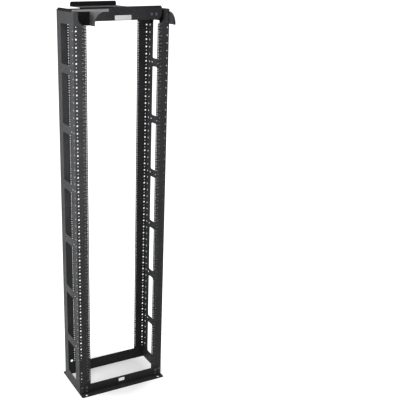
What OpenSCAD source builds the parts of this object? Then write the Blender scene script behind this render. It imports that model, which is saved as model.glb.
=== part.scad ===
// Two-post open frame rack: two punched channel posts on a base of steel angles,
// with a cable trough, waterfall drop-outs and a rear tray at the head.
// Origin: on the floor, in the middle between the posts. Front is -Y, up is +Z.

/* [Rack space] */
// Number of rack units between the base and the head
rack_units = 51; // [48:1:54]
// Height of one rack unit
unit_h = 44.45; // [44:0.05:46]
// Height of the lowest unit above the floor
unit_base_z = 94.25; // [90:0.25:120]
// Clear width between the mounting flanges
bay_w = 450.8; // [440:0.1:560]
// Distance of the rack holes from the flange's inner edge
rack_hole_in = 7.15; // [5:0.05:10]
// Diameter of a rack hole
rack_hole_d = 5.5; // [4:0.1:7]
// Pitch of the three rack holes in a unit
rack_hole_pitch = 15.875; // [12:0.125:16]

/* [Posts] */
// Sheet thickness of the posts and the head
sheet = 2; // [1.5:0.1:3.5]
// Outer bend radius of the posts
bend_r = 4; // [3.8:0.1:6]
// Width of a mounting flange
flange_w = 77.8; // [70:0.1:100]
// Depth of a post, front to back
post_d = 262; // [240:1:400]
// Width of the front strip of the web
front_strip = 66; // [60:1:100]
// Width of the rear strip of the web
rear_strip = 64; // [50:1:80]
// Height of the head above the rack space
head_h = 85; // [82:0.5:92]
// Distance of the cable hole column from the post's outer face
cable_hole_in = 13.9; // [11:0.1:18]
// Diameter of the large cable holes, one at the middle of each unit
cable_hole_d = 10; // [6:0.1:11]
// Diameter of the small cable holes, one at each unit boundary
tie_hole_d = 5; // [3:0.1:8]
// Distance of the web's hole columns from the front and rear faces
web_hole_in = 22; // [12:0.5:30]
// Diameter of the web's holes
web_hole_d = 9.5; // [4:0.1:10]

/* [Web openings] */
// Height of a web bridge
bridge_h = 50.8; // [30:0.1:80]
// Units from the top unit down to the first bridge
bridge_first = 5; // [4:1:6]
// Units from one bridge to the next
bridge_step = 8; // [6:1:8]
// Diameter of the three holes across a web bridge
bridge_hole_d = 10; // [5:0.5:12]
// Distance of the outer two of those holes from the post's middle
bridge_hole_out = 74; // [73:0.5:90]
// Corner radius of the web openings
opening_r = 10; // [4:1:20]
// Height of the top opening's upper edge above the rack space
opening_rise = 10.8; // [2:0.1:20]
// Height of the lowest opening's lower edge above the floor
opening_foot = 80; // [30:1:92]

/* [Head] */
// Distance of the waterfalls from the mounting flanges' inner edges
waterfall_in = 51.4; // [46:0.2:70]
// Outer radius of a waterfall at the front beam
waterfall_r = 64; // [40:1:70]
// Outer radius of a waterfall at the back of the drop-out
waterfall_rear_r = 8; // [5:1:30]
// Depth of a drop-out behind the front face
dropout_d = 75; // [60:1:90]
// Width of the wall behind a drop-out
dropout_wall_w = 56; // [30:1:110]
// Height of the trough floor above the rack space
trough_rise = 78.8; // [72:0.1:82]
// Height of the front beam
beam_h = 71; // [45:1:72]
// Height of the front beam's upper edge above the trough floor
beam_lip = 20; // [8:1:24]
// Half width of the front beam's full height
beam_full_x = 88; // [60:1:100]
// Height of the front flange's full width above the rack space
horn_rise = 5; // [4:0.5:12]
// Width left of the front flange beside a drop-out
horn_w = 28; // [24:1:34]
// Radius at the foot of the horn
horn_r = 46; // [20:1:48]
// Radius of the guide cheek
cheek_r = 72; // [50:1:80]
// Drop of the guide cheek's lower edge below the rack space
cheek_drop = 1; // [0:0.5:8]
// Width of the guide cheek's bolting leg
cheek_leg = 25; // [15:1:28]
// Distance of the right cover's inner edge from the middle
cover_in_x = 100; // [60:1:105]
// Distance of the right cover's outer edge from the middle
cover_out_x = 250; // [200:1:270]
// Radius of the right cover's lower outer corner
cover_r = 36; // [4:1:44]

/* [Rear tray] */
// Width of the rear tray
tray_w = 310; // [200:1:400]
// Depth of the rear tray
tray_d = 158; // [100:1:200]
// Height of the tray's upturned lip
tray_lip = 27; // [15:1:40]
// Height of the tray's bolting leg
tray_leg = 27; // [15:1:40]
// Corner radius of the tray's lip
tray_corner_r = 12; // [4:1:14]
// Height of the tray floor above the rear beam
tray_rise = 4; // [0:0.5:10]

/* [Base] */
// Thickness of the base steel
base_t = 4; // [3:0.1:8]
// Height of the front angle
front_angle_h = 66.5; // [60:0.5:78]
// Height of the rear angle
rear_angle_h = 79; // [60:0.5:85]
// How far the angles' feet reach beyond the posts
foot_reach = 43; // [30:1:70]
// Width of the angles' upright legs
angle_w = 550; // [500:1:600]
// Distance of the anchor holes from the posts' outer faces
anchor_in = 37.2; // [20:0.1:60]
// Distance of the anchor holes in front of or behind the posts
anchor_out = 25; // [20:0.5:32]
// Diameter of an anchor hole
anchor_d = 16; // [8:0.5:20]
// Width of the slot in the front angle
slot_w = 45; // [30:1:80]
// Height of the slot in the front angle
slot_h = 26; // [18:1:40]
// Height of the slot's middle above the floor
slot_z = 42; // [30:0.5:48]
// Corner radius of the slot
slot_r = 8; // [3:0.5:9]
// Corner radius of the angles' feet
foot_r = 8; // [2:0.5:12]
// Diameter of the cable hole at the foot of the left rear flange
foot_hole_d = 18; // [10:0.5:25]
// Distance of that hole from the post's outer face
foot_hole_in = 49; // [32:0.5:56]
// Height of that hole above the rear angle
foot_hole_rise = 24; // [14:0.5:30]

/* [Hidden] */
$fn = 48;
tip = 0.3;  // width at which the thin end of a fillet stops

half_w = bay_w / 2 + flange_w;
half_d = post_d / 2;
space_top = unit_base_z + rack_units * unit_h;
post_top = space_top + head_h;
trough_z = space_top + trough_rise;
beam_top = trough_z + beam_lip;
beam_low = beam_top - beam_h;
tray_z = post_top + tray_rise;
tray_rear_y = half_d + tray_d;
strip_front_y = -half_d + front_strip;
strip_rear_y = half_d - rear_strip;
dropout_y = -half_d + dropout_d;
horn_z = space_top + horn_rise;
horn_x = half_w - horn_w;
cheek_z = space_top - cheek_drop;
waterfall_x = bay_w / 2 - waterfall_in;
shoulder_x = waterfall_x - waterfall_r;
tongue_x = shoulder_x - 4;
shoulder_z = trough_z - waterfall_r;

// Height of the middle of a unit, counted from the bottom
function unit_mid(i) = unit_base_z + (i + 0.5) * unit_h;
// Height of a web bridge's middle, counted from the top
function bridge_z(i) = unit_mid(rack_units - 1 - bridge_first - (i - 1) * bridge_step);
// A waterfall's section where its outer radius is r, a depth t below its outer face
fall_steps = 14;
function fall_line(r, t) = concat(
    [[waterfall_x - t, space_top]],
    [for (i = [0:fall_steps]) let(a = 90 * i / fall_steps)
        [waterfall_x - r + (r - t) * cos(a), trough_z - r + (r - t) * sin(a)]],
    [[tongue_x, trough_z - t]]
);

// Places a right-hand piece on either side: side 1 is right, -1 is left
module on(side) {
    if (side > 0) children();
    else mirror([1, 0, 0]) children();
}

// A flat plate drawn in x and z, standing in front of the plane y = back
module plate_xz(back, t) {
    translate([0, back, 0]) rotate([90, 0, 0]) linear_extrude(t) children();
}

// A flat plate drawn in y and z, with its outer face on the post's outer face
module web_plate() {
    translate([half_w - sheet, 0, 0]) rotate([90, 0, 90]) linear_extrude(sheet) children();
}

// A rectangle from its low and high corners
module rect(low, high) {
    translate(low) square(high - low);
}

// A concave fillet in the corner between the x and y axes, with blunt ends
module fillet(r) {
    reach = r - sqrt(2 * r * tip - tip * tip);
    difference() {
        square(reach);
        translate([r, r]) circle(r);
    }
}

// The two round corners at one end of a web opening, above or below the height z
module opening_corners(z, up) {
    for (end = [[strip_front_y, 0], [strip_rear_y, 1]])
        translate([end[0], z]) mirror([end[1], 0]) mirror([0, up ? 0 : 1]) fillet(opening_r);
}

// The punched face of a mounting flange from the floor up to a height
module flange_face(high_z) {
    difference() {
        rect([bay_w / 2, 0], [half_w - bend_r, high_z]);
        for (i = [0:rack_units - 1]) {
            translate([half_w - cable_hole_in, unit_mid(i)]) circle(d = cable_hole_d);
            for (k = [-1:1])
                translate([bay_w / 2 + rack_hole_in, unit_mid(i) + k * rack_hole_pitch]) circle(d = rack_hole_d);
        }
        for (i = [0:rack_units])
            translate([half_w - cable_hole_in, unit_base_z + i * unit_h]) circle(d = tie_hole_d);
    }
}

// The rounded corner between a front flange and the web
module post_bend(low_z, high_z) {
    translate([half_w - bend_r, -half_d + bend_r, low_z]) linear_extrude(high_z - low_z)
        intersection() {
            difference() {
                circle(bend_r);
                circle(bend_r - sheet);
            }
            rect([0, -bend_r], [bend_r, 0]);
        }
}

// A strip of the web beside the openings, with its column of holes
module web_strip(inner_y) {
    web_plate() difference() {
        rect([-half_d + bend_r, 0], [inner_y, post_top]);
        for (i = [0:rack_units - 1])
            translate([-half_d + web_hole_in, unit_mid(i)]) circle(d = web_hole_d);
        for (i = [1:6])
            translate([-bridge_hole_out, bridge_z(i)]) circle(d = bridge_hole_d);
    }
}

module front_flange() {
    color("#2e2f31") union() {
        plate_xz(-half_d + sheet, sheet) flange_face(horn_z);
        post_bend(0, horn_z);
    }
}

// The narrow top of the front flange, beside the drop-out
module front_horn() {
    color("#2e2f31") union() {
        plate_xz(-half_d + sheet, sheet) {
            rect([horn_x, horn_z], [half_w - bend_r, post_top]);
            translate([horn_x, horn_z]) mirror([1, 0]) fillet(horn_r);
        }
        post_bend(horn_z, post_top);
    }
}

module rear_flange(with_foot_hole) {
    color("#2a2b2d") mirror([0, 1, 0]) union() {
        plate_xz(-half_d + sheet, sheet) difference() {
            flange_face(post_top);
            if (with_foot_hole)
                translate([half_w - foot_hole_in, rear_angle_h + foot_hole_rise]) circle(d = foot_hole_d);
        }
        post_bend(0, post_top);
    }
}

module front_web() {
    color("#3a3b3e") web_strip(strip_front_y);
}

module rear_web() {
    color("#3a3b3e") mirror([0, 1, 0]) web_strip(-strip_rear_y);
}

// The solid web above the highest opening
module web_top() {
    low_z = space_top + opening_rise;
    color("#38393c") web_plate() {
        rect([strip_front_y, low_z], [strip_rear_y, post_top]);
        opening_corners(low_z, false);
    }
}

// The web left standing between two openings
module web_bridge(i) {
    low_z = bridge_z(i) - bridge_h / 2;
    color("#38393c") web_plate() difference() {
        union() {
            rect([strip_front_y, low_z], [strip_rear_y, low_z + bridge_h]);
            opening_corners(low_z, false);
            opening_corners(low_z + bridge_h, true);
        }
        translate([0, bridge_z(i)]) circle(d = bridge_hole_d);
    }
}

// The solid web below the lowest opening
module web_foot() {
    color("#38393c") web_plate() {
        rect([strip_front_y, 0], [strip_rear_y, opening_foot]);
        opening_corners(opening_foot, true);
    }
}

// A foot plate with rounded outer corners and two anchor holes, reaching forward
module angle_foot() {
    low_y = -half_d - foot_reach;
    linear_extrude(base_t) difference() {
        union() {
            rect([-half_w, low_y + foot_r], [half_w, -half_d]);
            rect([-half_w + foot_r, low_y], [half_w - foot_r, -half_d]);
            for (side = [-1, 1])
                translate([side * (half_w - foot_r), low_y + foot_r]) circle(foot_r);
        }
        for (side = [-1, 1])
            translate([side * (half_w - anchor_in), -half_d - anchor_out]) circle(d = anchor_d);
    }
}

module base_front_angle() {
    color("#1d1e20") union() {
        angle_foot();
        plate_xz(-half_d, base_t) difference() {
            rect([-angle_w / 2, 0], [angle_w / 2, front_angle_h]);
            rect([-slot_w / 2 + slot_r, slot_z - slot_h / 2], [slot_w / 2 - slot_r, slot_z + slot_h / 2]);
            rect([-slot_w / 2, slot_z - slot_h / 2 + slot_r], [slot_w / 2, slot_z + slot_h / 2 - slot_r]);
            for (x = [-1, 1], z = [-1, 1])
                translate([x * (slot_w / 2 - slot_r), slot_z + z * (slot_h / 2 - slot_r)]) circle(slot_r);
        }
    }
}

module base_rear_angle() {
    color("#1d1e20") mirror([0, 1, 0]) union() {
        angle_foot();
        plate_xz(-half_d, base_t) rect([-angle_w / 2, 0], [angle_w / 2, rear_angle_h]);
    }
}

// The front beam, whose shoulders follow the waterfalls
module head_front_beam() {
    color("#2a2b2d") plate_xz(-half_d + sheet, sheet) {
        rect([-beam_full_x, beam_low], [beam_full_x, beam_top]);
        rect([-shoulder_x, beam_low], [shoulder_x, trough_z]);
        intersection() {
            for (side = [-1, 1]) translate([side * shoulder_x, shoulder_z]) circle(waterfall_r);
            rect([-waterfall_x, beam_low], [waterfall_x, trough_z]);
        }
    }
}

module head_rear_beam() {
    color("#242527") mirror([0, 1, 0]) plate_xz(-half_d + sheet, sheet)
        rect([-bay_w / 2, beam_low], [bay_w / 2, post_top]);
}

// The trough floor, with a tongue forward to the front beam and relieved rear corners
module trough_floor() {
    color("#4a4b4e") translate([0, 0, trough_z - sheet]) linear_extrude(sheet) {
        rect([-half_w + sheet, dropout_y], [half_w - sheet, half_d - bend_r]);
        rect([-half_w + bend_r, dropout_y], [half_w - bend_r, half_d - sheet]);
        rect([-tongue_x, -half_d + sheet], [tongue_x, dropout_y]);
    }
}

// The bell-mouthed cheek that carries cables down from the trough floor: a lofted
// sheet, widely curved at the front beam and nearly square at the back of the drop-out
module waterfall() {
    n = fall_steps + 3;
    front = concat(fall_line(waterfall_r, 0), fall_line(waterfall_r, sheet));
    rear = concat(fall_line(waterfall_rear_r, 0), fall_line(waterfall_rear_r, sheet));
    points = concat([for (p = front) [p.x, -half_d + sheet, p.y]], [for (p = rear) [p.x, dropout_y, p.y]]);
    outer = [for (j = [0:n - 2]) [j, j + 1, j + 1 + 2 * n, j + 2 * n]];
    inner = [for (q = outer) [q[3] + n, q[2] + n, q[1] + n, q[0] + n]];
    front_edge = [for (j = [0:n - 2]) [j + n, j + 1 + n, j + 1, j]];
    rear_edge = [for (q = front_edge) [q[3] + 2 * n, q[2] + 2 * n, q[1] + 2 * n, q[0] + 2 * n]];
    ends = [[0, 2 * n, 3 * n, n], [n - 1, 2 * n - 1, 4 * n - 1, 3 * n - 1]];
    color("#55565a") polyhedron(points, concat(outer, inner, front_edge, rear_edge, ends));
}

// The wall behind a drop-out, hanging from the trough floor
module dropout_wall() {
    color("#202123") plate_xz(dropout_y + sheet, sheet)
        rect([waterfall_x - sheet, space_top], [waterfall_x + dropout_wall_w, trough_z - sheet]);
}

// The cover bolted to the front beam over most of the right drop-out
module dropout_cover() {
    color("#2e2f31") plate_xz(-half_d, sheet) difference() {
        rect([cover_in_x, beam_low], [cover_out_x, beam_top]);
        difference() {
            rect([cover_out_x - cover_r, beam_low - 1], [cover_out_x + 1, beam_low + cover_r]);
            translate([cover_out_x - cover_r, beam_low + cover_r]) circle(cover_r);
        }
    }
}

// A quarter disc in line with the web, with a leg bolted to the horn
module guide_cheek() {
    color("#333437") union() {
        web_plate() intersection() {
            translate([-half_d, cheek_z]) circle(cheek_r);
            rect([-half_d - cheek_r, cheek_z], [-half_d, cheek_z + cheek_r]);
        }
        plate_xz(-half_d, sheet) rect([half_w - cheek_leg, horn_z], [half_w, cheek_z + cheek_r]);
    }
}

// The tray behind the head: a bolting leg, a floor and an upturned lip with round corners
module rear_tray() {
    half_tray = tray_w / 2;
    lip_z = tray_z + tray_lip;
    color("#1f2022") union() {
        plate_xz(half_d + sheet, sheet) rect([-half_tray, tray_z - tray_leg], [half_tray, tray_z]);
        translate([0, 0, tray_z - sheet]) linear_extrude(sheet)
            rect([-half_tray, half_d], [half_tray, tray_rear_y]);
        plate_xz(tray_rear_y, sheet) {
            rect([-half_tray, tray_z - sheet], [half_tray, lip_z - tray_corner_r]);
            rect([-half_tray + tray_corner_r, tray_z], [half_tray - tray_corner_r, lip_z]);
            for (side = [-1, 1])
                translate([side * (half_tray - tray_corner_r), lip_z - tray_corner_r]) circle(tray_corner_r);
        }
    }
}

for (side = [-1, 1]) {
    hand = side > 0 ? "right_" : "left_";
    on(side) front_flange();
    on(side) front_horn();
    on(side) front_web();
    on(side) rear_web();
    on(side) rear_flange(side < 0);
    on(side) web_top();
    for (i = [1:6])
        on(side) web_bridge(i);
    on(side) web_foot();
    on(side) waterfall();
    on(side) dropout_wall();
}
dropout_cover();  // right_dropout_cover
guide_cheek();  // right_guide_cheek
base_front_angle();
base_rear_angle();
head_front_beam();
head_rear_beam();
trough_floor();
rear_tray();
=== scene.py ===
import math

import bmesh
import bpy
from mathutils import Matrix, Vector


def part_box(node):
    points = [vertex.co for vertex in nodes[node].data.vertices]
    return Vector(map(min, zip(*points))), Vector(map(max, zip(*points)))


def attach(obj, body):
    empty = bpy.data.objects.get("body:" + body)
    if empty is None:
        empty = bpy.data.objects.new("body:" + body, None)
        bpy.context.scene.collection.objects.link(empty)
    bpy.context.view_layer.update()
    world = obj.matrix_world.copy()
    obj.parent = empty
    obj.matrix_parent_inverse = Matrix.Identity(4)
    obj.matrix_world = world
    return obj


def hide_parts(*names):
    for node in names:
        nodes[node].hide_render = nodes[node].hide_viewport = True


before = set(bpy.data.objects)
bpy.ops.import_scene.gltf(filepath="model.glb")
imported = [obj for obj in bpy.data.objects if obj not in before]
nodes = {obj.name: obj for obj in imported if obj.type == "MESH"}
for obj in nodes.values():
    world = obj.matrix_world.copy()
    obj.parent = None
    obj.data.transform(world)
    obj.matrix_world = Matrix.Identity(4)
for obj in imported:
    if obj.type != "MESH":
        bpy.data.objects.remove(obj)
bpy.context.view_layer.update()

# ---------------------------------------------------------------------------
# Powder coat of the posts
# The posts are folded steel sheet with a black, finely textured polyester powder
# coat. It is baked on, a little uneven, and holds dust where it looks up.
# ---------------------------------------------------------------------------
GRAIN_SCALE = 900.0
GRAIN_HEIGHT = 0.0004
CLOUD_SCALE = 7.0
MOTTLE_SCALE = 110.0
CLOUD_SPAN = (0.3, 0.7)
CLOUD_TONES = (0.82, 1.2)
FINE_SPAN = (0.35, 0.65)
MOTTLE_TONES = (0.82, 1.2)
SPECK_TONES = (0.8, 1.25)
DUST_FACING = (0.3, 0.95)
DUST_GREY = (0.24, 0.24, 0.24, 1)
COAT_SPECULAR = 0.1


def shader_group(name, inputs, outputs):
    """An empty node group with named value or colour sockets."""
    group = bpy.data.node_groups.new(name, "ShaderNodeTree")
    for label, kind, value in inputs:
        made = group.interface.new_socket(label, in_out="INPUT", socket_type=kind)
        made.default_value = value
    for label, kind in outputs:
        group.interface.new_socket(label, in_out="OUTPUT", socket_type=kind)
    entry = group.nodes.new("NodeGroupInput")
    leave = group.nodes.new("NodeGroupOutput")
    return group, entry, leave


def socket(sockets, identifier):
    """A node's socket by its identifier, for nodes that hold several of one name."""
    return next(found for found in sockets if found.identifier == identifier)


def noise(tree, scale, detail=2.0):
    """A noise texture that is fixed to the piece."""
    place = tree.nodes.new("ShaderNodeTexCoord")
    texture = tree.nodes.new("ShaderNodeTexNoise")
    texture.inputs["Scale"].default_value = scale
    texture.inputs["Detail"].default_value = detail
    tree.links.new(place.outputs["Object"], texture.inputs["Vector"])
    return texture


def spread(tree, value, span, result=(0.0, 1.0)):
    """Maps one span of a value to another, and holds it at the ends."""
    mapped = tree.nodes.new("ShaderNodeMapRange")
    for label, number in zip(("From Min", "From Max", "To Min", "To Max"), (*span, *result)):
        mapped.inputs[label].default_value = number
    tree.links.new(value, mapped.inputs["Value"])
    return mapped.outputs["Result"]


def combine(tree, operation, first, second):
    """Two values put through a Math node, such as their product."""
    worked = tree.nodes.new("ShaderNodeMath")
    worked.operation = operation
    tree.links.new(first, worked.inputs[0])
    tree.links.new(second, worked.inputs[1])
    return worked.outputs["Value"]


def mix_colors(tree, share, first, second):
    """Two colours mixed by a share from 0 to 1."""
    mixed = tree.nodes.new("ShaderNodeMix")
    mixed.data_type = "RGBA"
    tree.links.new(share, socket(mixed.inputs, "Factor_Float"))
    tree.links.new(first, socket(mixed.inputs, "A_Color"))
    tree.links.new(second, socket(mixed.inputs, "B_Color"))
    return socket(mixed.outputs, "Result_Color")


def powder_texture():
    """Fine orange-peel grain, slow cloudiness, and settled dust on faces that look up."""
    group, entry, leave = shader_group(
        "powder_texture",
        [
            ("Coat Color", "NodeSocketColor", (0.04, 0.04, 0.042, 1)),
            ("Dust Color", "NodeSocketColor", DUST_GREY),
            ("Grain Size", "NodeSocketFloat", GRAIN_SCALE),
            ("Dust", "NodeSocketFloat", 0.3),
            ("Roughness", "NodeSocketFloat", 0.5),
        ],
        [("Color", "NodeSocketColor"), ("Roughness", "NodeSocketFloat"), ("Height", "NodeSocketFloat")],
    )
    link = group.links.new
    grain = noise(group, GRAIN_SCALE, detail=3.0)
    link(entry.outputs["Grain Size"], grain.inputs["Scale"])
    cloud = spread(group, noise(group, CLOUD_SCALE, detail=5.0).outputs["Fac"], CLOUD_SPAN, CLOUD_TONES)
    mottle = spread(group, noise(group, MOTTLE_SCALE).outputs["Fac"], FINE_SPAN, MOTTLE_TONES)
    speck = spread(group, grain.outputs["Fac"], FINE_SPAN, SPECK_TONES)
    tone = combine(group, "MULTIPLY", combine(group, "MULTIPLY", cloud, mottle), speck)
    shade = group.nodes.new("ShaderNodeVectorMath")
    shade.operation = "SCALE"
    link(entry.outputs["Coat Color"], shade.inputs[0])
    link(tone, shade.inputs["Scale"])

    facing = group.nodes.new("ShaderNodeNewGeometry")
    split = group.nodes.new("ShaderNodeSeparateXYZ")
    link(facing.outputs["Normal"], split.inputs["Vector"])
    looks_up = spread(group, split.outputs["Z"], DUST_FACING)
    settled = combine(group, "MULTIPLY", looks_up, entry.outputs["Dust"])
    dusted = mix_colors(group, settled, shade.outputs["Vector"], entry.outputs["Dust Color"])

    link(dusted, leave.inputs["Color"])
    link(combine(group, "MULTIPLY", entry.outputs["Roughness"], cloud), leave.inputs["Roughness"])
    link(grain.outputs["Fac"], leave.inputs["Height"])
    return group


powder_group = powder_texture()


def new_material(name):
    """A material and its surface shader."""
    material = bpy.data.materials.new(name)
    material.use_nodes = True
    return material, material.node_tree.nodes["Principled BSDF"]


def powder_material(name, color, roughness, dust=0.3, grain=GRAIN_SCALE, bump=0.12):
    """A powder-coated steel finish built on the shared texture group."""
    material, surface = new_material(name)
    tree = material.node_tree
    surface.inputs["Specular IOR Level"].default_value = COAT_SPECULAR
    texture = tree.nodes.new("ShaderNodeGroup")
    texture.node_tree = powder_group
    texture.inputs["Coat Color"].default_value = (*color, 1)
    texture.inputs["Dust"].default_value = dust
    texture.inputs["Grain Size"].default_value = grain
    texture.inputs["Roughness"].default_value = roughness
    bumped = tree.nodes.new("ShaderNodeBump")
    bumped.inputs["Strength"].default_value = bump
    bumped.inputs["Distance"].default_value = GRAIN_HEIGHT
    tree.links.new(texture.outputs["Color"], surface.inputs["Base Color"])
    tree.links.new(texture.outputs["Roughness"], surface.inputs["Roughness"])
    tree.links.new(texture.outputs["Height"], bumped.inputs["Height"])
    tree.links.new(bumped.outputs["Normal"], surface.inputs["Normal"])
    return material


def finish_nodes(names, material):
    """Gives CAD nodes a material."""
    for name in names:
        mesh = nodes[name].data
        mesh.materials.clear()
        mesh.materials.append(material)


post_powder = powder_material("post_powder", (0.038, 0.039, 0.041), 0.48)
post_nodes = [name for name in nodes if name.startswith(("left_", "right_"))]
finish_nodes(post_nodes, post_powder)

# The front flanges get a darker copy of the post coat: painted shade on the faces that look to the
# front.
painted_shade_flange_powder = powder_material("painted_shade_flange_powder", (0.030, 0.0305, 0.032), 0.5)
finish_nodes([name for name in post_nodes if name.endswith("front_flange")], painted_shade_flange_powder)

# A still darker copy on the right rear flange: painted shade inside the post, behind its front flange.
painted_shade_rear_powder = powder_material("painted_shade_rear_powder", (0.021, 0.0215, 0.023), 0.52, dust=0.12)
finish_nodes(["right_rear_flange"], painted_shade_rear_powder)

# ---------------------------------------------------------------------------
# Base angles
# Two hot-rolled steel angles, sawn and punched, with a thicker and darker powder
# coat. They are bolted to the flanges and carry the anchor holes.
# ---------------------------------------------------------------------------
base_powder = powder_material(
    "base_powder", (0.022, 0.022, 0.0235), 0.5, dust=0.04, grain=600.0, bump=0.2
)
finish_nodes(["base_front_angle", "base_rear_angle"], base_powder)

# ---------------------------------------------------------------------------
# Head: beams, trough, drop-outs and rear tray
# Folded sheet like the posts. The guide cheek, the trough's floor and the left
# waterfall are painted paler, as painted light where the lamps fall, and dusty. The
# rear tray, the right waterfall and the drop-outs' insides are near black as painted shade.
# ---------------------------------------------------------------------------
head_powder = powder_material("head_powder", (0.0225, 0.023, 0.0245), 0.5)
finish_nodes(["head_front_beam", "head_rear_beam"], head_powder)

# A paler copy on the guide cheek: painted light where the lamps fall on its face, with more dust.
painted_light_cheek_powder = powder_material("painted_light_cheek_powder", (0.055, 0.056, 0.059), 0.45, dust=0.5)
finish_nodes(["right_guide_cheek"], painted_light_cheek_powder)

# A near-black copy on the rear tray: painted shade on its lip behind the rear beam.
painted_shade_tray_powder = powder_material("painted_shade_tray_powder", (0.011, 0.011, 0.0125), 0.55, dust=0.2)
finish_nodes(["rear_tray"], painted_shade_tray_powder)

# A much paler copy on the trough's floor: painted light on the face that looks up to the top lamp, with
# dust.
painted_light_trough_powder = powder_material("painted_light_trough_powder", (0.12, 0.121, 0.125), 0.42, dust=0.65)
finish_nodes(["trough_floor"], painted_light_trough_powder)

# A paler copy on the left waterfall: painted light, while the right waterfall takes the near-black coat
# below.
painted_light_waterfall_powder = powder_material("painted_light_waterfall_powder", (0.07, 0.071, 0.074), 0.4, dust=0.5)
finish_nodes(["left_waterfall"], painted_light_waterfall_powder)

# Near black: painted shade on the right waterfall, the drop-outs' walls and the closing plates. The edge
# guard below shares it as its own black.
black_and_painted_shade_powder = powder_material("black_and_painted_shade_powder", (0.003, 0.003, 0.0034), 0.7, dust=0.03)
finish_nodes(["right_waterfall", "left_dropout_wall", "right_dropout_wall"], black_and_painted_shade_powder)

# ---------------------------------------------------------------------------
# Drop-out cover
# A flat coated sheet with one widely rounded corner, bolted to the front beam over
# the right drop-out. It laps over the beam's end, so no gap shows between them.
# ---------------------------------------------------------------------------
SHEET = 0.002
COVER_IN_X = 0.086
COVER_R = 0.036


def low(name):
    """The lowest corner of a CAD node."""
    return Vector(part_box(name)[0])


def high(name):
    """The highest corner of a CAD node."""
    return Vector(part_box(name)[1])


def piece(name, mesh, material):
    """Makes an object of a bmesh, with its place in the mesh, and hands it to the frame."""
    data = bpy.data.meshes.new(name)
    mesh.to_mesh(data)
    mesh.free()
    data.materials.append(material)
    made = bpy.data.objects.new(name, data)
    bpy.context.scene.collection.objects.link(made)
    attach(made, "root")
    return made


def plate(mesh, lowest, highest):
    """A rectangular plate between two corners. Returns its edges."""
    size = Vector(highest) - Vector(lowest)
    place = Matrix.Translation((Vector(highest) + Vector(lowest)) / 2) @ Matrix.Diagonal((*size, 1))
    made = bmesh.ops.create_cube(mesh, size=1.0, matrix=place)
    return list(dict.fromkeys(edge for vert in made["verts"] for edge in vert.link_edges))


def round_off(mesh, edges, radius, steps):
    """Rounds edges with an arc. Returns what the bevel made."""
    return bmesh.ops.bevel(
        mesh,
        geom=edges,
        offset=radius,
        offset_type="OFFSET",
        affect="EDGES",
        segments=steps,
        profile=0.5,
        material=-1,
    )


def along(edge, axis):
    """Whether an edge runs along an axis, 0, 1 or 2."""
    run = edge.verts[0].co - edge.verts[1].co
    return abs(run[axis]) > 0.9 * run.length


cover_low, cover_high = low("right_dropout_cover"), high("right_dropout_cover")
cover_middle = (cover_low + cover_high) / 2
mesh = bmesh.new()
edges = plate(mesh, (COVER_IN_X, cover_low.y, cover_low.z), cover_high)
across = [(edge, edge.verts[0].co) for edge in edges if along(edge, 1)]
outer_corner = [edge for edge, end in across if end.x > cover_middle.x and end.z < cover_middle.z]
round_off(mesh, outer_corner, COVER_R, steps=12)
cover = piece("cover_sheet", mesh, head_powder)
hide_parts("right_dropout_cover")

# ---------------------------------------------------------------------------
# Closing plates
# A coated sheet beside each drop-out's wall, which joins it to the post's web. The
# right one is cut away below, as far as a leg beside the web, with a round corner.
# Both are near black: painted shade for the dark depth of the drop-outs.
# ---------------------------------------------------------------------------
EDGE_R = 0.0003
CLOSING_LIFT = 0.024
CLOSING_LEG = 0.0245
CLOSING_R = 0.010
NEAR = 0.00001

wall_low, wall_high = low("right_dropout_wall"), high("right_dropout_wall")
web_inside = high("right_web_top").x - SHEET
mesh = bmesh.new()
edges = plate(mesh, (-web_inside, wall_low.y, wall_low.z), (-wall_high.x, wall_high.y, wall_high.z))
round_off(mesh, edges, EDGE_R, steps=2)
piece("left_closing_plate", mesh, black_and_painted_shade_powder)

leg_x = web_inside - CLOSING_LEG
step_z = wall_low.z + CLOSING_LIFT
outline = [
    (wall_high.x, step_z),
    (leg_x, step_z),
    (leg_x, wall_low.z),
    (web_inside, wall_low.z),
    (web_inside, wall_high.z),
    (wall_high.x, wall_high.z),
]
mesh = bmesh.new()
face = mesh.faces.new([mesh.verts.new((x, wall_low.y, z)) for x, z in outline])
grown = bmesh.ops.extrude_face_region(mesh, geom=[face])["geom"]
far_side = [part for part in grown if isinstance(part, bmesh.types.BMVert)]
bmesh.ops.translate(mesh, verts=far_side, vec=(0, wall_high.y - wall_low.y, 0))
bmesh.ops.recalc_face_normals(mesh, faces=mesh.faces)
step = Vector((leg_x, step_z))
across = [edge for edge in mesh.edges if along(edge, 1)]
inner_corner = [edge for edge in across if (edge.verts[0].co.xz - step).length < NEAR]
round_off(mesh, inner_corner, CLOSING_R, steps=8)
piece("right_closing_plate", mesh, black_and_painted_shade_powder)

# ---------------------------------------------------------------------------
# Beam cap
# A narrow strip of the same sheet, folded double. It stands a little above the front
# beam, from left of the beam's middle almost to the cover's outer end.
# ---------------------------------------------------------------------------
CAP_IN_X = -0.052
CAP_END = 0.006
CAP_RISE = 0.006
CAP_T = 2 * SHEET
CAP_R = 0.0008

mesh = bmesh.new()
cap_low = (CAP_IN_X, cover_low.y, cover_high.z - CAP_RISE)
cap_high = (cover_high.x - CAP_END, cover_low.y + CAP_T, cover_high.z + CAP_RISE)
edges = plate(mesh, cap_low, cap_high)
round_off(mesh, [edge for edge in edges if along(edge, 0)], CAP_R, steps=3)
piece("beam_cap", mesh, head_powder)

# ---------------------------------------------------------------------------
# Rim of the guide cheek
# The cheek's curved edge is rolled inwards, so that cables don't rub on bare sheet.
# It is a strip of the same sheet, spun along the cheek's quarter circle.
# ---------------------------------------------------------------------------
RIM_W = 0.011
RIM_T = 0.0016
RIM_SWEEP = math.radians(-88)

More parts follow.
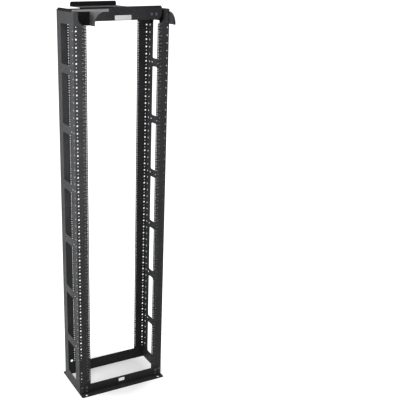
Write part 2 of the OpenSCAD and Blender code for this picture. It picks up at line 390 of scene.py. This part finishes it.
cheek_low, cheek_high = low("right_guide_cheek"), high("right_guide_cheek")
post_front = low("right_front_flange").y
mesh = bmesh.new()
rim_start = [
    mesh.verts.new((cheek_high.x - SHEET - RIM_W, cheek_low.y, cheek_low.z)),
    mesh.verts.new((cheek_high.x - SHEET, cheek_low.y, cheek_low.z)),
]
rim_line = mesh.edges.new(rim_start)
bmesh.ops.spin(
    mesh,
    geom=[*rim_start, rim_line],
    cent=(0, post_front, cheek_low.z),
    axis=(1, 0, 0),
    angle=RIM_SWEEP,
    steps=24,
    use_merge=False,
    use_duplicate=False,
)
bmesh.ops.recalc_face_normals(mesh, faces=mesh.faces)
bmesh.ops.solidify(mesh, geom=list(mesh.faces), thickness=RIM_T)
piece("cheek_rim", mesh, head_powder)

# ---------------------------------------------------------------------------
# Edge guard
# A flattened bead over the top edge of the left web, rounded at both ends. It is
# black, and shares the near-black coat that the drop-outs' insides have as painted shade.
# ---------------------------------------------------------------------------
GUARD_FRONT = -0.095
GUARD_REAR = 0.112
GUARD_LAP = 0.006
GUARD_RISE = 0.010
GUARD_OUT = 0.001
GUARD_IN = 0.007
GUARD_R = 0.015

web_x = low("left_web_top").x
web_z = high("left_web_top").z
mesh = bmesh.new()
edges = plate(
    mesh,
    (web_x - GUARD_OUT, GUARD_FRONT, web_z - GUARD_LAP),
    (web_x + GUARD_IN, GUARD_REAR, web_z + GUARD_RISE),
)
upper_ends = [edge for edge in edges if along(edge, 0) and edge.verts[0].co.z > web_z]
round_off(mesh, upper_ends, GUARD_R, steps=8)
piece("left_edge_guard", mesh, black_and_painted_shade_powder)

# ---------------------------------------------------------------------------
# Fasteners
# Black oxide hex head bolts with plain washers: they hold the base angles to the
# posts, and the head's cover, cheek and tray. Turned and rolled, true to size.
# ---------------------------------------------------------------------------
BOLT_ACROSS = 0.0127
BOLT_HEAD = 0.0053
BOLT_CHAMFER = 0.0009
BOLT_TURN = 0.37
WASHER_R = 0.0095
WASHER_T = 0.0014
WASHER_CHAMFER = 0.0003
ANGLE_T = 0.004
ANGLE_BOLT_X = 0.256
FRONT_ANGLE_Z = (0.020, 0.048)
REAR_ANGLE_Z = (0.020, 0.058)
FLANGE_BOLT_X = 0.286
FLANGE_BOLT_Z = (0.018, 0.050)
WEB_FOOT_Y = (0.012, 0.060)
WEB_FOOT_Z = 0.058
COVER_BOLT_X = (0.182, 0.212)
COVER_BOLT_DROP = 0.005
CHEEK_BOLT_IN = 0.011
CHEEK_BOLT_UP = (0.020, 0.056)
TRAY_BOLT_X = (-0.12, -0.04, 0.04, 0.12)
TRAY_BOLT_UP = 0.012
FRONTWARDS = (0, -1, 0)
REARWARDS = (0, 1, 0)


def two_tone_texture():
    """A cloudy change between two tones, and the cloud that it follows."""
    group, entry, leave = shader_group(
        "two_tone_texture",
        [
            ("Dark Color", "NodeSocketColor", (0.1, 0.1, 0.1, 1)),
            ("Pale Color", "NodeSocketColor", (0.5, 0.5, 0.5, 1)),
            ("Cloud Scale", "NodeSocketFloat", 60.0),
            ("Cloud Detail", "NodeSocketFloat", 2.0),
            ("Dark Up To", "NodeSocketFloat", 0.0),
            ("Pale From", "NodeSocketFloat", 1.0),
        ],
        [("Color", "NodeSocketColor"), ("Cloud", "NodeSocketFloat")],
    )
    link = group.links.new
    cloud = noise(group, CLOUD_SCALE)
    link(entry.outputs["Cloud Scale"], cloud.inputs["Scale"])
    link(entry.outputs["Cloud Detail"], cloud.inputs["Detail"])
    share = group.nodes.new("ShaderNodeMapRange")
    link(cloud.outputs["Fac"], share.inputs["Value"])
    link(entry.outputs["Dark Up To"], share.inputs["From Min"])
    link(entry.outputs["Pale From"], share.inputs["From Max"])
    dark, pale = entry.outputs["Dark Color"], entry.outputs["Pale Color"]
    link(mix_colors(group, share.outputs["Result"], dark, pale), leave.inputs["Color"])
    link(cloud.outputs["Fac"], leave.inputs["Cloud"])
    return group


two_tone_group = two_tone_texture()


def two_tone_material(
    name, dark, pale, roughness, scale, detail=2.0, dark_up_to=0.0, pale_from=1.0, metallic=0.0
):
    """A material between two tones. Its roughness is a number, or a span that follows the cloud."""
    material, surface = new_material(name)
    tree = material.node_tree
    texture = tree.nodes.new("ShaderNodeGroup")
    texture.node_tree = two_tone_group
    texture.inputs["Dark Color"].default_value = (*dark, 1)
    texture.inputs["Pale Color"].default_value = (*pale, 1)
    texture.inputs["Cloud Scale"].default_value = scale
    texture.inputs["Cloud Detail"].default_value = detail
    texture.inputs["Dark Up To"].default_value = dark_up_to
    texture.inputs["Pale From"].default_value = pale_from
    tree.links.new(texture.outputs["Color"], surface.inputs["Base Color"])
    surface.inputs["Metallic"].default_value = metallic
    if isinstance(roughness, tuple):
        clouded = spread(tree, texture.outputs["Cloud"], (0.0, 1.0), roughness)
        tree.links.new(clouded, surface.inputs["Roughness"])
    else:
        surface.inputs["Roughness"].default_value = roughness
    return material


bolt_steel = two_tone_material(
    "bolt_steel",
    dark=(0.03, 0.03, 0.034),
    pale=(0.13, 0.13, 0.135),
    roughness=(0.25, 0.55),
    scale=220.0,
    detail=4.0,
    metallic=0.7,
)


def add_disc(mesh, place, radius, depth, sides, chamfer):
    """A short prism standing on the local xy plane, with a chamfered upper rim."""
    made = bmesh.ops.create_cone(
        mesh, cap_ends=True, cap_tris=False, segments=sides, radius1=radius, radius2=radius, depth=depth
    )
    verts = made["verts"]
    edges = dict.fromkeys(edge for vert in verts for edge in vert.link_edges)
    rim = [edge for edge in edges if all(vert.co.z > 0 for vert in edge.verts)]
    cut = round_off(mesh, rim, chamfer, steps=2)
    whole = {vert for vert in verts if vert.is_valid} | set(cut["verts"])
    lift = Matrix.Translation((0, 0, depth / 2))
    bmesh.ops.transform(mesh, matrix=place @ lift, verts=list(whole))


def bolts(name, places, outward):
    """A group of bolts whose heads look along one direction."""
    mesh = bmesh.new()
    turn = Vector(outward).to_track_quat("Z", "Y").to_matrix().to_4x4()
    head_r = BOLT_ACROSS / 2 / math.cos(math.pi / 6)
    for count, place in enumerate(places):
        seat = Matrix.Translation(place) @ turn
        add_disc(mesh, seat, WASHER_R, WASHER_T, sides=32, chamfer=WASHER_CHAMFER)
        lifted = seat @ Matrix.Translation((0, 0, WASHER_T)) @ Matrix.Rotation(BOLT_TURN * count, 4, "Z")
        add_disc(mesh, lifted, head_r, BOLT_HEAD, sides=6, chamfer=BOLT_CHAMFER)
    piece(name, mesh, bolt_steel)


post_rear = high("right_rear_flange").y
for side, hand in ((-1, "left"), (1, "right")):
    angle_x = side * ANGLE_BOLT_X
    flange_x = side * FLANGE_BOLT_X
    front_angle = [(angle_x, post_front - ANGLE_T, z) for z in FRONT_ANGLE_Z]
    rear_angle = [(angle_x, post_rear + ANGLE_T, z) for z in REAR_ANGLE_Z]
    web_foot = [(side * web_inside, y, WEB_FOOT_Z) for y in WEB_FOOT_Y]
    bolts(hand + "_front_angle_bolts", front_angle, FRONTWARDS)
    bolts(hand + "_front_flange_bolts", [(flange_x, post_front, z) for z in FLANGE_BOLT_Z], FRONTWARDS)
    bolts(hand + "_rear_angle_bolts", rear_angle, REARWARDS)
    bolts(hand + "_rear_flange_bolts", [(flange_x, post_rear, z) for z in FLANGE_BOLT_Z], REARWARDS)
    bolts(hand + "_web_foot_bolts", web_foot, (-side, 0, 0))

cover_bolt_z = cover_middle.z - COVER_BOLT_DROP
bolts("cover_bolts", [(x, cover_low.y, cover_bolt_z) for x in COVER_BOLT_X], FRONTWARDS)
cheek_bolt_x = cheek_low.x + CHEEK_BOLT_IN
cheek_leg = [(cheek_bolt_x, post_front - SHEET, cheek_low.z + up) for up in CHEEK_BOLT_UP]
bolts("cheek_bolts", cheek_leg, FRONTWARDS)
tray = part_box("rear_tray")
tray_leg = [(x, tray[0][1] + SHEET, tray[0][2] + TRAY_BOLT_UP) for x in TRAY_BOLT_X]
bolts("tray_bolts", tray_leg, REARWARDS)

# ---------------------------------------------------------------------------
# Unit numbers
# A plain number beside every rack unit, with a tick at each unit's edge. They are
# printed on the front flanges in light grey, here a fifth of a millimetre thick.
# ---------------------------------------------------------------------------
UNIT = 0.04445
UNIT_BASE = 0.09425
UNIT_COUNT = 51
NUMBER_X = 0.249
NUMBER_H = 0.009
TICK_IN = 0.004
TICK_W = 0.012
TICK_H = 0.0012
PRINT_T = 0.0002

unit_print = two_tone_material(
    "unit_print",
    dark=(0.12, 0.12, 0.12),
    pale=(0.42, 0.42, 0.42),
    roughness=0.7,
    scale=1500.0,
    dark_up_to=0.35,
    pale_from=0.5,
)


def number_mesh(text, height):
    """The thin mesh of a number, centred on its middle, in the local xy plane."""
    curve = bpy.data.curves.new("number", "FONT")
    curve.body = text
    curve.size = height
    curve.resolution_u = 3
    curve.extrude = PRINT_T / 2
    curve.align_x = "CENTER"
    curve.align_y = "CENTER"
    holder = bpy.data.objects.new("number", curve)
    made = bpy.data.meshes.new_from_object(holder)
    bpy.data.objects.remove(holder)
    bpy.data.curves.remove(curve)
    return made


print_y = post_front - PRINT_T / 2
upright = Matrix.Rotation(math.radians(90), 4, "X")
tick_size = Matrix.Diagonal((TICK_W, PRINT_T, TICK_H, 1))
for side, hand in ((-1, "left"), (1, "right")):
    mesh = bmesh.new()
    for unit in range(UNIT_COUNT):
        number = number_mesh(str(unit + 1), NUMBER_H)
        place = Matrix.Translation((side * NUMBER_X, print_y, UNIT_BASE + (unit + 0.5) * UNIT))
        number.transform(place @ upright)
        mesh.from_mesh(number)
        bpy.data.meshes.remove(number)
    for unit in range(UNIT_COUNT + 1):
        place = Matrix.Translation((side * (NUMBER_X - TICK_IN), print_y, UNIT_BASE + unit * UNIT))
        bmesh.ops.create_cube(mesh, size=1.0, matrix=place @ tick_size)
    piece(hand + "_unit_numbers", mesh, unit_print)

# ---------------------------------------------------------------------------
# Bare plate on the front beam
# A thin satin plastic plate stuck to the middle of the beam, with rounded corners
# and nothing printed on it.
# ---------------------------------------------------------------------------
PLATE_SIZE = Vector((0.104, 0.001, 0.027))
PLATE_X = 0.001
PLATE_UP = 0.0155
PLATE_R = 0.003

plate_plastic = two_tone_material(
    "bare_plate", dark=(0.5, 0.5, 0.5), pale=(0.59, 0.59, 0.59), roughness=0.45, scale=60.0
)

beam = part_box("head_front_beam")
plate_middle = Vector((PLATE_X, beam[0][1] - PLATE_SIZE.y / 2, beam[0][2] + PLATE_UP))
mesh = bmesh.new()
edges = plate(mesh, plate_middle - PLATE_SIZE / 2, plate_middle + PLATE_SIZE / 2)
round_off(mesh, [edge for edge in edges if along(edge, 1)], PLATE_R, steps=5)
piece("bare_plate", mesh, plate_plastic)

# ---------------------------------------------------------------------------
# Studio floor and sky
# White paper that keeps the rack's shadow near the base and grows to full white
# further out, where it runs into a white sky without an edge. Its glow is weaker
# near the base: painted shade around the rack, under which its real shadow also falls.
# ---------------------------------------------------------------------------
FLOOR_HALF = 60.0
FLOOR_GREY = 0.8
FLOOR_LIFT = 0.3
SHADOW_ZONE = (0.22, 0.45)
SKY_LEVEL = 0.42


def background_rays(tree):
    """1 for rays that show the background: camera, glossy and transmission rays."""
    rays = tree.nodes.new("ShaderNodeLightPath").outputs
    mirrored = combine(tree, "MAXIMUM", rays["Is Glossy Ray"], rays["Is Transmission Ray"])
    return combine(tree, "MAXIMUM", rays["Is Camera Ray"], mirrored)


scene = bpy.context.scene
scene.view_settings.view_transform = "Standard"

floor_mesh = bmesh.new()
bmesh.ops.create_grid(floor_mesh, x_segments=1, y_segments=1, size=FLOOR_HALF)
floor_data = bpy.data.meshes.new("studio_floor")
floor_mesh.to_mesh(floor_data)
floor_mesh.free()
floor = bpy.data.objects.new("studio_floor", floor_data)
scene.collection.objects.link(floor)

floor_paper, surface = new_material("floor_paper")
surface.inputs["Base Color"].default_value = (FLOOR_GREY, FLOOR_GREY, FLOOR_GREY, 1)
surface.inputs["Roughness"].default_value = 1.0
surface.inputs["Specular IOR Level"].default_value = 0.0
surface.inputs["Emission Color"].default_value = (1, 1, 1, 1)
tree = floor_paper.node_tree
floor_place = tree.nodes.new("ShaderNodeTexCoord")
distance = tree.nodes.new("ShaderNodeVectorMath")
distance.operation = "LENGTH"
tree.links.new(floor_place.outputs["Object"], distance.inputs[0])
# Less glow within the shadow zone: painted shade on the paper near the rack.
glow = spread(tree, distance.outputs["Value"], SHADOW_ZONE, (FLOOR_LIFT, 1.0))
shown_glow = combine(tree, "MULTIPLY", background_rays(tree), glow)
tree.links.new(shown_glow, surface.inputs["Emission Strength"])
floor_data.materials.append(floor_paper)

world = bpy.data.worlds.new("studio")
scene.world = world
world.use_nodes = True
tree = world.node_tree
sky = tree.nodes.new("ShaderNodeMix")
sky.data_type = "RGBA"
socket(sky.inputs, "A_Color").default_value = (SKY_LEVEL, SKY_LEVEL, SKY_LEVEL, 1)
socket(sky.inputs, "B_Color").default_value = (1, 1, 1, 1)
tree.links.new(background_rays(tree), socket(sky.inputs, "Factor_Float"))
tree.links.new(socket(sky.outputs, "Result_Color"), tree.nodes["Background"].inputs["Color"])
tree.nodes["Background"].inputs["Strength"].default_value = 1.0

# ---------------------------------------------------------------------------
# Lamps and camera
# Three soft boxes: a large one overhead, one at the left, and a narrow upright strip
# by the upper left post. The camera stands in front, to the left and a little above.
# ---------------------------------------------------------------------------
TOP_POWER = 40
STRIP_POWER = 12.5
SIDE_POWER = 33
CAMERA_PLACE = (-1.7919, -3.828, 2.6883)
CAMERA_TURN = (math.radians(71.042), 0, math.radians(-25.107))
LENS = 63.19
SHIFT_X = 0.2164
SHIFT_Y = 0.0146


def soft_box(name, place, target, width, height, power):
    """A rectangular area lamp that looks at a point and isn't seen itself."""
    data = bpy.data.lights.new(name, "AREA")
    data.shape = "RECTANGLE"
    data.size = width
    data.size_y = height
    data.energy = power
    lamp = bpy.data.objects.new(name, data)
    lamp.location = place
    lamp.rotation_euler = (Vector(target) - Vector(place)).to_track_quat("-Z", "Y").to_euler()
    lamp.visible_camera = False
    scene.collection.objects.link(lamp)


soft_box("top_lamp", (0.0, 1.0, 7.0), (0, 0, 0), 6.0, 6.0, TOP_POWER)
soft_box("strip_lamp", (-0.6, -0.9, 1.9), (-0.25, 0.05, 1.9), 0.15, 1.5, STRIP_POWER)
soft_box("side_lamp", (-2.4, -0.3, 2.6), (-0.3, 0, 1.2), 1.2, 1.2, SIDE_POWER)

camera_data = bpy.data.cameras.new("camera")
camera_data.sensor_width = 36.0
camera_data.lens = LENS
camera_data.shift_x = SHIFT_X
camera_data.shift_y = SHIFT_Y
camera_data.clip_end = 200.0
camera = bpy.data.objects.new("camera", camera_data)
camera.location = CAMERA_PLACE
camera.rotation_euler = CAMERA_TURN
scene.collection.objects.link(camera)
scene.camera = camera
